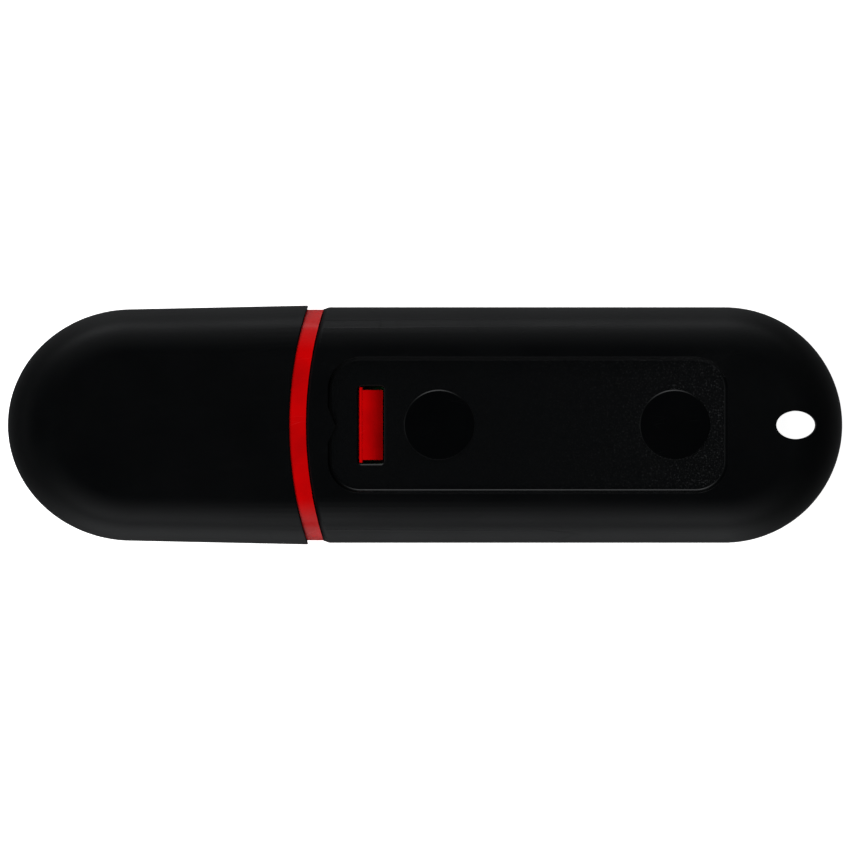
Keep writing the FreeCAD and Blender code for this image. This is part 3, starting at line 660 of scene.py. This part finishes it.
def heightCurve(tree, height, points):
    place = remap(tree, height, -1.0, 1.0, 0.0, 1.0)
    curve = addNode(tree, "ShaderNodeFloatCurve")
    wire(tree, place, 0, curve, "Value")
    curve.mapping.use_clip = False  # values may pass 1
    line = curve.mapping.curves[0]
    line.points[0].location = ((points[0][0] + 1) / 2, points[0][1])
    line.points[1].location = ((points[-1][0] + 1) / 2, points[-1][1])
    for level, value in points[1:-1]:
        line.points.new((level + 1) / 2, value)
    for point in line.points:
        point.handle_type = "VECTOR"
    curve.mapping.update()
    return curve


def lobe(tree, compass, towards):  # light from one side, fading round the compass
    facing = addNode(tree, "ShaderNodeVectorMath", {"operation": "DOT_PRODUCT"})
    wire(tree, compass, "Vector", facing, 0)
    facing.inputs[1].default_value = towards
    ahead = mathNode(tree, "MAXIMUM", (facing, "Value"), 0.0)
    return mathNode(tree, "POWER", (ahead, 0), studio["spread"])


def makeWorld():  # two soft side lights, a bar at the back and a dark ceiling
    world = bpy.data.worlds.new("studioRoom")
    world.use_nodes = True
    tree = world.node_tree
    background = tree.nodes["Background"]
    place = addNode(tree, "ShaderNodeTexCoord")
    parts = addNode(tree, "ShaderNodeSeparateXYZ")
    wire(tree, place, "Generated", parts, "Vector")
    level = addNode(tree, "ShaderNodeVectorMath", {"operation": "MULTIPLY"})
    wire(tree, place, "Generated", level, 0)
    level.inputs[1].default_value = (1, 1, 0)
    compass = addNode(tree, "ShaderNodeVectorMath", {"operation": "NORMALIZE"})
    wire(tree, level, "Vector", compass, 0)
    along, across = -math.sin(studio["lean"]), math.cos(studio["lean"])
    back = lobe(tree, compass, (along, across, 0))
    front = lobe(tree, compass, (along, -across, 0))
    nose = lobe(tree, compass, (-1, 0, 0))
    washes = []
    for side, name in ((back, "backWash"), (front, "frontWash")):
        curve = heightCurve(tree, (parts, "Z"), studio[name])
        washes.append(mathNode(tree, "MULTIPLY", (curve, 0), (side, 0)))
    wash = mathNode(tree, "ADD", (washes[0], 0), (washes[1], 0))
    bars = mathNode(tree, "MULTIPLY_ADD", (nose, 0), studio["noseStrip"])
    wire(tree, back, 0, bars, 2)
    bar = mathNode(tree, "MULTIPLY", (heightCurve(tree, (parts, "Z"), studio["bar"]), 0), (bars, 0))
    total = mathNode(tree, "ADD", (wash, 0), (bar, 0))
    around = heightCurve(tree, (parts, "Z"), studio["roundLight"])
    wire(tree, mathNode(tree, "ADD", (total, 0), (around, 0)), 0, background, "Strength")
    background.inputs["Color"].default_value = (0.96, 0.98, 1.0, 1)
    bpy.context.scene.world = world


makeFloor()
makeLights()
makeWorld()
print("floor and lights made")

# the black sleeve
sleeve = {
    "cavityEnd": tailX - 9.3 * mm,
    "mouthRound": 0.45 * mm,
    "mouthSteps": 6,
    "recessFromMouth": 1.65 * mm,
    "recessFromTail": 8.5 * mm,
    "recessHalf": 4.99 * mm,
    "recessCorner": 2.35 * mm,
    "cornerSteps": 12,
    "recessDepth": 0.32 * mm,
    "wallLean": 0.1 * mm,
    "footLean": 0.15 * mm,
    "footRise": 0.12 * mm,
    "rimRound": 0.05 * mm,
    "notchWidth": 2.5 * mm,
    "notchDepth": 0.55 * mm,
    "notchTip": 0.04,  # of its width
    "notchRound": 0.12 * mm,
    "windowFromRecess": 2.2 * mm,
    "windowLength": 1.92 * mm,
    "windowHalf": 2.875 * mm,
    "windowCorner": 0.25 * mm,
    "windowRim": 0.09 * mm,
    "windowSlope": 0.8,  # drop over width
    "padRadius": 2.6 * mm,
    "padHeight": 0.08 * mm,
    "padEdge": 0.08 * mm,
    "padSlope": 0.83,  # rise over width
    "padRoot": 0.3 * mm,  # down into the floor
    "padSides": 128,
    "frontPadFromWindow": 4.05 * mm,
    "rearPadFromRecess": 3.9 * mm,
    "holeFromTail": 3.43 * mm,
    "holeLength": 2.95 * mm,
    "holeWidth": 2.08 * mm,
    "holeSides": 96,
}
recessLow = bodyMouthX + sleeve["recessFromMouth"]
recessHigh = tailX - sleeve["recessFromTail"]
recessFloorZ = topZ - sleeve["recessDepth"]
windowLow = recessLow + sleeve["windowFromRecess"]
windowHigh = windowLow + sleeve["windowLength"]
padPlaces = (windowHigh + sleeve["frontPadFromWindow"], recessHigh - sleeve["rearPadFromRecess"])
holeX = tailX - sleeve["holeFromTail"]


def newSinkTool(name, lowX, highX, half, corner, rimZ, rim, steps):
    # a cutter let down from rimZ by insets: each step goes inward, then down
    high = (highX + rim, half + rim, rimZ + 2 * case["overcut"])
    tool = newBlock(name, (lowX - rim, -half - rim, rimZ), high)
    startEdit(tool)
    pickEdges(tool, lambda a, b: near(a.x, b.x) and near(a.y, b.y))
    bevelPicked(corner + rim, sleeve["cornerSteps"])
    pickFaces(tool, lambda centre, normal: normal.z < -0.9)
    for inward, down in steps:
        bpy.ops.mesh.inset(thickness=inward, depth=down)
    endEdit()
    return tool


def rollOver(radius, turns=5):  # the steps of a rounded rim
    angles = [math.radians(90 * k / turns) for k in range(turns + 1)]
    return [(radius * (math.sin(b) - math.sin(a)), radius * (math.cos(a) - math.cos(b)))
            for a, b in zip(angles, angles[1:])]


def makeSleeve():
    centreX = tailX - bodyHalf
    startX = bodyMouthX - 2 * case["overcut"]
    piece = newPill("bodySleeve", centreX, bodyHalf, bodyHalf, startX, bodyHalf, 0, topZ,
                    case["edgeRound"], case["roundSteps"])
    combine(piece, newMouthCutter("mouth", bodyMouthX), "INTERSECT")
    roundMouthRim(piece, bodyMouthX, sleeve["mouthRound"], sleeve["mouthSteps"])
    cavity = newBar("cavity", startX, sleeve["cavityEnd"], bodyHalf - case["wall"], case["wall"], ceilingZ,
                    case["innerRound"], case["innerSteps"])
    combine(piece, cavity, "DIFFERENCE")
    wallDrop = sleeve["recessDepth"] - sleeve["rimRound"] - sleeve["footRise"]
    recess = newSinkTool("recess", recessLow, recessHigh, sleeve["recessHalf"], sleeve["recessCorner"], topZ,
                         sleeve["rimRound"], rollOver(sleeve["rimRound"])
                         + [(sleeve["wallLean"], wallDrop), (sleeve["footLean"], sleeve["footRise"])])
    combine(recess, makeNotch(), "DIFFERENCE")
    combine(piece, recess, "DIFFERENCE")
    for x in padPlaces:
        combine(piece, makePad(x), "UNION")
    rim = sleeve["windowRim"]
    window = newSinkTool("window", windowLow, windowHigh, sleeve["windowHalf"], sleeve["windowCorner"],
                         recessFloorZ, rim, [(rim, rim * sleeve["windowSlope"]), (0, case["wall"])])
    combine(piece, window, "DIFFERENCE")
    hole = newRound("hole", holeX, 0, -case["overcut"], topZ + case["overcut"], sleeve["holeLength"] / 2,
                    sleeve["holeWidth"] / 2, sleeve["holeSides"])
    combine(piece, hole, "DIFFERENCE")
    return piece


def makeNotch():  # stands in the recess, at the gate
    tipX = recessLow + sleeve["notchDepth"]
    notch = newBlock("notch", (recessLow - case["overcut"], -sleeve["notchWidth"] / 2, ceilingZ),
                     (recessLow, sleeve["notchWidth"] / 2, topZ + tiny / 2))
    startEdit(notch)
    pickFaces(notch, lambda centre, normal: normal.x > 0.9)
    bpy.ops.mesh.extrude_region_move(TRANSFORM_OT_translate={"value": (tipX - recessLow, 0, 0)})
    bpy.ops.transform.resize(value=(1, sleeve["notchTip"], 1), center_override=(tipX, 0, 0))
    pickEdges(notch, lambda a, b: near(a.x, tipX) and near(b.x, tipX) and not near(a.z, b.z))
    bevelPicked(sleeve["notchRound"], 4)
    endEdit()
    return notch


def makePad(x):  # a low round pad with a small sloped edge
    edge = sleeve["padEdge"]
    rise = edge * sleeve["padSlope"]
    pad = newRound("pad", x, 0, recessFloorZ - sleeve["padRoot"], recessFloorZ + sleeve["padHeight"] - rise,
                   sleeve["padRadius"], sleeve["padRadius"], sleeve["padSides"])
    startEdit(pad)
    pickFaces(pad, lambda centre, normal: normal.z > 0.9)
    bpy.ops.mesh.inset(thickness=edge, depth=rise)
    endEdit()
    return pad


bodySleeve = makeSleeve()
finish(bodySleeve, "drive", "body_shell")

# the pull-off cap
capPiece = {
    "noseLength": 9.2 * mm,
    "noseHalf": 8.55 * mm,
    "mouthHalf": 8.795 * mm,
    "mouthRound": 0.1 * mm,
    "mouthSteps": 4,
    "ribWidth": 0.8 * mm,
    "ribSpread": 3.5 * mm,
    "ribGap": 0.15 * mm,
    "ribEnd": 3.9 * mm,  # from the mouth
}


def makeCap():
    centreX = capLow.x + capPiece["noseLength"]
    endX = capMouthX + 3 * case["overcut"]
    stretch = (endX - centreX) / (capMouthX - centreX)
    endHalf = capPiece["noseHalf"] + (capPiece["mouthHalf"] - capPiece["noseHalf"]) * stretch
    wall = case["wall"]
    piece = newPill("pullCap", centreX, capPiece["noseLength"], capPiece["noseHalf"], endX, endHalf, 0, topZ,
                    case["edgeRound"], case["roundSteps"])
    seatX = capMouthX - case["seatGap"]
    combine(piece, newMouthCutter("mouth", seatX), "DIFFERENCE")
    roundMouthRim(piece, seatX, capPiece["mouthRound"], capPiece["mouthSteps"])
    cavity = newPill("cavity", centreX, capPiece["noseLength"] - wall, capPiece["noseHalf"] - wall, endX,
                     endHalf - wall, wall, ceilingZ, case["innerRound"], case["innerSteps"])
    ribEndX = capMouthX - capPiece["ribEnd"]
    half = capPiece["ribWidth"] / 2
    gap = capPiece["ribGap"]
    ribs = [((plugLow.x, -bodyHalf, middleZ - half), (ribEndX, bodyHalf, middleZ + half))]
    for y in (-capPiece["ribSpread"], capPiece["ribSpread"]):
        ribs.append(((capLow.x, y - half, 0), (ribEndX, y + half, topZ)))
    for low, high in ribs:  # what the ribs fill is taken from the cavity's cutter
        rib = newBlock("rib", low, high)
        room = newBlock("room", (plugLow.x - gap, plugLow.y - gap, plugLow.z - gap),
                        (capMouthX + case["overcut"], plugHigh.y + gap, plugHigh.z + gap))
        combine(rib, room, "DIFFERENCE")
        combine(cavity, rib, "DIFFERENCE")
    combine(piece, cavity, "DIFFERENCE")
    return piece


pullCap = makeCap()
finish(pullCap, "cap", "cap")

# the red carrier: its band shows beside the cap, its catch in the window
carrier = {
    "catchStart": 0.33 * mm,  # from the window's front edge, just inside the catch's ridge
    "catchEnd": 0.09 * mm,  # from its rear edge
    "catchHalf": 2.57 * mm,
    "crestDepth": 0.165 * mm,  # below the recess floor
    "rollDrop": 0.68 * mm,
    "rollRoot": 0.1 * mm,  # under its low end
    "rollCurve": 2.3,
    "rollCuts": 16,
}


def makeCarrier():
    piece = bpy.data.objects.new("innerCarrier", nodes["carrier_frame"].data.copy())
    bpy.context.collection.objects.link(piece)
    startEdit(piece)
    bpy.ops.mesh.select_all(action="SELECT")
    bpy.ops.mesh.customdata_custom_splitnormals_clear()
    bpy.ops.mesh.remove_doubles(threshold=tiny / 10)
    endEdit()
    combine(piece, makeCatchRoll(), "UNION")
    return piece


def makeCatchRoll():  # the catch's top rolls down towards the tail
    startX = windowLow + carrier["catchStart"]
    endX = windowHigh - carrier["catchEnd"]
    crest = recessFloorZ - carrier["crestDepth"]
    bottom = crest - carrier["rollDrop"] - carrier["rollRoot"]
    roll = newBlock("roll", (startX, -carrier["catchHalf"], bottom), (endX, carrier["catchHalf"], crest))
    cuts = carrier["rollCuts"]
    places = [startX + (endX - startX) * k / cuts for k in range(1, cuts + 1)]
    for x in places[:-1]:
        startEdit(roll)
        bpy.ops.mesh.select_all(action="SELECT")
        bpy.ops.mesh.bisect(plane_co=(x, 0, 0), plane_no=(1, 0, 0))
        endEdit()
    startEdit(roll)
    for k, x in enumerate(places):
        drop = carrier["rollDrop"] * ((k + 1) / cuts) ** carrier["rollCurve"]
        pickEdges(roll, lambda a, b: near(a.x, x) and near(b.x, x) and near(a.z, crest) and near(b.z, crest))
        bpy.ops.transform.translate(value=(0, 0, -drop))
    endEdit()
    return roll


innerCarrier = makeCarrier()
finish(innerCarrier, "drive", "carrier_frame", 40)


def paint(piece, material, test):  # the faces that pass get that material
    onlySelect(piece)
    bpy.ops.object.material_slot_add()
    piece.material_slots[-1].material = material
    piece.active_material_index = len(piece.material_slots) - 1
    startEdit(piece)
    pickFaces(piece, test)
    bpy.ops.object.material_slot_assign()
    endEdit()


recessPlastic = sparkedBlackPlastic()
recessWall = polishedBlackPlastic()
paint(bodySleeve, blackPlastic, lambda centre, normal: True)
paint(pullCap, blackPlastic, lambda centre, normal: True)
innerCarrier.data.materials.clear()
paint(innerCarrier, redFinish, lambda centre, normal: True)


def inRecess(centre):
    lengthwise = recessLow < centre.x < recessHigh
    return lengthwise and abs(centre.y) < sleeve["recessHalf"] and centre.z > recessFloorZ - 0.08 * mm


def isRecessSide(centre, normal):  # the pads and the window's rim too
    return inRecess(centre) and centre.z < topZ - tiny and normal.y > -0.3


# the floor finish, darker and rougher, also covers the wall that looks to the front, as painted shade
def isRecessFloorOrShadedWall(centre, normal):  # and the wall that looks to the front
    floor = normal.z > 0.95 and centre.z < recessFloorZ + 0.01 * mm
    return inRecess(centre) and centre.z < topZ - tiny and (floor or normal.y <= -0.3)


paint(bodySleeve, recessWall, isRecessSide)
# the front-looking wall takes the darker floor finish as painted shade
paint(bodySleeve, recessPlastic, isRecessFloorOrShadedWall)
